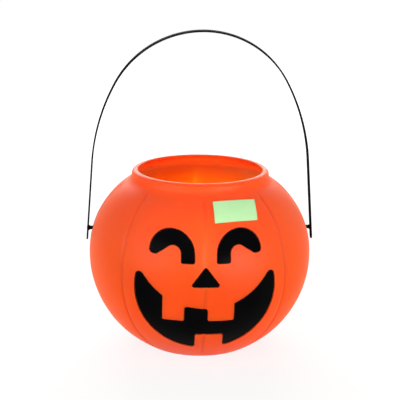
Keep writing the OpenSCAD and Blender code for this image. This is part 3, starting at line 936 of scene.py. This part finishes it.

# %% [markdown]
# ## Gloss black paint, paper and black plastic
# The paint is smooth, but it mirrors very little of the light, so the lamps draw only broad dim
# reflections on it. The label is dull paper with fibres; its border has a painted shade, a darker
# and greener colour along the paper's edge. The strap and its pegs are satin polypropylene that
# rubbing has made a little shinier in places.

# %% Make the paint
black_paint, tree, shader = new_material(
    "gloss black paint", {"Grains_per_Metre": 700.0, "Swell_Share": 0.8}, 0.03,
    {"Plain_Roughness": 0.16, "Change": 0.10, "Strokes_per_Metre": 90.0},
    IOR=1.5, Specular_IOR_Level=0.012)
tone = placed(tree, drift, Colour=(0.0006, 0.0007, 0.0009, 1), Other_Colour=(0.0014, 0.0015, 0.0018, 1),
              Patches_per_Metre=30.0)
tree.links.new(tone.outputs["Colour"], shader.inputs["Base Color"])
for patch in paints:
    patch.data.materials.append(black_paint)
print("material:", black_paint.name)

# %% Make the paper
paper, tree, shader = new_material(
    "pale green paper", {"Grains_per_Metre": 2600.0, "Swell_Share": 0.25}, 0.05,
    {"Plain_Roughness": 0.72, "Change": 0.12, "Strokes_per_Metre": 120.0}, IOR=1.45)
tone = placed(tree, drift, Colour=(0.400, 0.700, 0.330, 1), Other_Colour=(0.430, 0.715, 0.360, 1),
              Patches_per_Metre=140.0)
# painted shade: a darker, greener colour along the label's edge
colour = masked_colour(tree, tone.outputs["Colour"], "edge", 0.55, (0.30, 0.52, 0.16))
tree.links.new(colour, shader.inputs["Base Color"])
label.data.materials.append(paper)
print("material:", paper.name)

# %% Make the black plastics
black_tones = ((0.003, 0.003, 0.003), (0.006, 0.006, 0.006))


def black_plastic(name, roughness):
    material, tree, shader = new_material(
        name, {"Grains_per_Metre": 2200.0, "Swell_Share": 0.3}, 0.04,
        {"Plain_Roughness": roughness, "Change": 0.14, "Strokes_per_Metre": 70.0},
        Specular_IOR_Level=0.0, Coat_Weight=0.04, Coat_IOR=1.49)
    tone = placed(tree, drift, Colour=(*black_tones[0], 1), Other_Colour=(*black_tones[1], 1),
                  Patches_per_Metre=60.0)
    tree.links.new(tone.outputs["Colour"], shader.inputs["Base Color"])
    return material


strap.data.materials.append(black_plastic("black strap plastic", 0.34))
peg_plastic = black_plastic("black peg plastic", 0.28)
for peg in pegs:
    peg.data.materials.append(peg_plastic)
print("black plastics made")

# %% [markdown]
# ## Floor, light and background
# A product shot like this one stands on seamless white. The floor is one large sheet of nearly
# white, and its bounce brightens the pail from below. Where the camera looks at it directly, most of
# its brightness is a glow just short of white, and the rest still takes the pail's soft shadow. It
# must not be brighter than white, because an overbright ground eats into the edge of a thin black
# strap. Seen from below, the sheet lets the view through. The light comes from large soft lamps: a
# low key from the right, a weaker one from the left, one in front and above, and one behind, whose
# light comes through the wall and makes the inside glow.

# %% The floor
half_floor = 6.0
floor_mesh = bpy.data.meshes.new("floor")
floor_mesh.from_pydata([(-half_floor, -half_floor, 0), (half_floor, -half_floor, 0),
                        (half_floor, half_floor, 0), (-half_floor, half_floor, 0)], [], [(0, 1, 2, 3)])
floor = bpy.data.objects.new("floor", floor_mesh)
bpy.context.scene.collection.objects.link(floor)
floor.location.z = -0.0002
floor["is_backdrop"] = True


def seen_directly(tree):
    """1 for rays from the camera, in mirrors and through glass, else 0."""
    path = add(tree, "ShaderNodeLightPath")
    total = path.outputs["Is Camera Ray"]
    for name in ("Is Glossy Ray", "Is Transmission Ray"):
        either = add(tree, "ShaderNodeMath", operation="MAXIMUM")
        tree.links.new(total, either.inputs[0])
        tree.links.new(path.outputs[name], either.inputs[1])
        total = either.outputs[0]
    return total


white = bpy.data.materials.new("seamless white")
white.use_nodes = True
tree = white.node_tree
tree.nodes.clear()
out = add(tree, "ShaderNodeOutputMaterial")
dull = add(tree, "ShaderNodeBsdfDiffuse", Color=(0.86, 0.86, 0.86, 1))
shadow_share, glow_near, glow_far = 0.16, 0.83, 0.93
faint = add(tree, "ShaderNodeBsdfDiffuse", Color=(shadow_share, shadow_share, shadow_share, 1))
glow = add(tree, "ShaderNodeEmission", Color=(1, 1, 1, 1))
floor_place = add(tree, "ShaderNodeTexCoord")
away = add(tree, "ShaderNodeVectorMath", operation="LENGTH")
amount = add(tree, "ShaderNodeMapRange", interpolation_type="SMOOTHSTEP")
for label_, value in (("From Min", 0.3), ("From Max", 2.2), ("To Min", glow_near), ("To Max", glow_far)):
    amount.inputs[label_].default_value = value
tree.links.new(floor_place.outputs["Object"], away.inputs[0])
tree.links.new(away.outputs["Value"], amount.inputs["Value"])
tree.links.new(amount.outputs[0], glow.inputs["Strength"])
as_seen = add(tree, "ShaderNodeAddShader")
tree.links.new(faint.outputs[0], as_seen.inputs[0])
tree.links.new(glow.outputs[0], as_seen.inputs[1])
surface = dull
side_seen = add(tree, "ShaderNodeNewGeometry")
for factor, shader in ((seen_directly(tree), as_seen),
                       (side_seen.outputs["Backfacing"], add(tree, "ShaderNodeBsdfTransparent"))):
    mix = add(tree, "ShaderNodeMixShader")
    tree.links.new(factor, mix.inputs[0])
    tree.links.new(surface.outputs[0], mix.inputs[1])
    tree.links.new(shader.outputs[0], mix.inputs[2])
    surface = mix
tree.links.new(surface.outputs[0], out.inputs["Surface"])
floor_mesh.materials.append(white)
print("floor made")

# %% The surrounding: white where it is seen, a softer light elsewhere
world = bpy.data.worlds.new("pale room")
bpy.context.scene.world = world
world.use_nodes = True
tree = world.node_tree
tree.nodes.clear()
out = add(tree, "ShaderNodeOutputWorld")
room = add(tree, "ShaderNodeBackground", Color=(1.0, 0.99, 0.98, 1))
room_light = 0.50
strength = add(tree, "ShaderNodeMapRange")
strength.inputs["To Min"].default_value = room_light
tree.links.new(seen_directly(tree), strength.inputs["Value"])
tree.links.new(strength.outputs[0], room.inputs["Strength"])
tree.links.new(room.outputs[0], out.inputs["Surface"])
print("room light", room_light)


# %% The lamps
def soft_lamp(name, place, aim, size, watts):
    lamp = bpy.data.lights.new(name, "AREA")
    lamp.shape = "RECTANGLE"
    lamp.size, lamp.size_y = size
    lamp.energy = watts
    holder = bpy.data.objects.new(name, lamp)
    bpy.context.scene.collection.objects.link(holder)
    holder.location = place
    holder.rotation_euler = (Vector(aim) - Vector(place)).to_track_quat("-Z", "Y").to_euler()


middle = (0, 0, 0.10)
soft_lamp("key lamp", (0.85, -1.15, 0.20), middle, (0.9, 0.38), 12.6)
soft_lamp("left lamp", (-1.05, -0.9, 0.40), middle, (0.8, 0.8), 9.0)
soft_lamp("front lamp", (0.0, -1.25, 0.70), middle, (0.9, 0.7), 1.5)
soft_lamp("back lamp", (0.0, 1.6, 0.85), middle, (1.6, 0.5), 46.0)

# %% [markdown]
# ## Close the scene
# The view transform stays Standard, so a colour on screen is the colour that was mixed. The last
# lines note the size of the CAD model and of the dressed one, which should be alike.

# %% Note the sizes and finish
bpy.context.scene.view_settings.view_transform = "Standard"
dressed_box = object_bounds()
for name, corners in (("CAD model", cad_box), ("dressed model", dressed_box)):
    print(name, [round((b - a) / MM, 2) for a, b in zip(*corners)], "mm")
